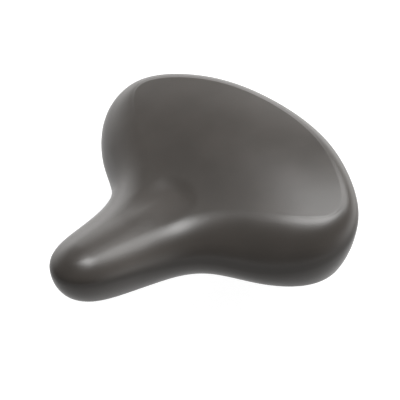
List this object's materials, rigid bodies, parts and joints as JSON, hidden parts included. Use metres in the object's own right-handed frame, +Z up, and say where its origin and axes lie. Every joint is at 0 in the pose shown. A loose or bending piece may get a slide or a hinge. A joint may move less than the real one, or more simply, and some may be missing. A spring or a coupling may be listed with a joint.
{
  "type": "bicycle saddle",
  "caption": "Wide sprung comfort saddle with a moulded cover, foam, base shell, twin rails, two coil springs and a clip for a plain seat pin.",
  "frame": {"origin": "centre of the clip band's bore for the seat pin", "axes": "+X to the saddle's nose, +Y to the rider's left, +Z up along the seat pin's bore"},
  "size_m": [0.2547, 0.2608, 0.1076],
  "materials": {
    "cover_skin": "satin",
    "foam": "matte",
    "shell_plastic": "matte",
    "clip_plastic": "satin",
    "insert_brass": "satin",
    "zinc_steel": "satin",
    "rail_steel": "satin",
    "clip_steel": "satin",
    "spring_steel": "polished",
    "black_steel": "satin"
  },
  "bodies": {
    "clip": {"clip_band": "clip_steel"},
    "cradle": {"inner_clip_plate_left": "clip_steel", "inner_clip_plate_right": "clip_steel", "outer_clip_cap_left": "clip_steel", "outer_clip_cap_right": "clip_steel", "clip_bolt": "zinc_steel", "clip_nut": "zinc_steel", "clip_washers": "zinc_steel"},
    "chassis": {"rail_left": "rail_steel", "rail_right": "rail_steel", "rear_bridge": "black_steel", "bridge_clamp_plate": "black_steel", "bridge_bolts": "zinc_steel", "bridge_nuts": "zinc_steel", "spring_left": "spring_steel", "spring_right": "spring_steel", "lower_spring_cup_left": "black_steel", "lower_spring_cup_right": "black_steel", "lower_spring_bolts": "zinc_steel", "lower_spring_nuts": "zinc_steel"},
    "seat": {"cover": "cover_skin", "foam_pad": "foam", "base_shell": "shell_plastic", "spring_inserts": "insert_brass", "nose_clip": "clip_plastic", "nose_clip_screws": "zinc_steel", "upper_spring_cup_left": "black_steel", "upper_spring_cup_right": "black_steel", "upper_spring_bolts": "zinc_steel"}
  },
  "joints": [
    {"name": "tilt", "type": "hinge", "parent": "clip", "child": "cradle", "pos_m": [0.022, 0, 0], "axis": [0, 1, 0], "range_deg": [-15, 15]},
    {"name": "rail_slide", "type": "slide", "parent": "cradle", "child": "chassis", "axis": [1, 0, 0], "range_m": [-0.012, 0.012]},
    {"name": "suspension", "type": "hinge", "parent": "chassis", "child": "seat", "pos_m": [0.103, 0, 0.014], "axis": [0, -1, 0], "range_deg": [0, 5], "stiffness_Nm_per_rad": 2000, "deforming": ["spring_left", "spring_right"]}
  ]
}
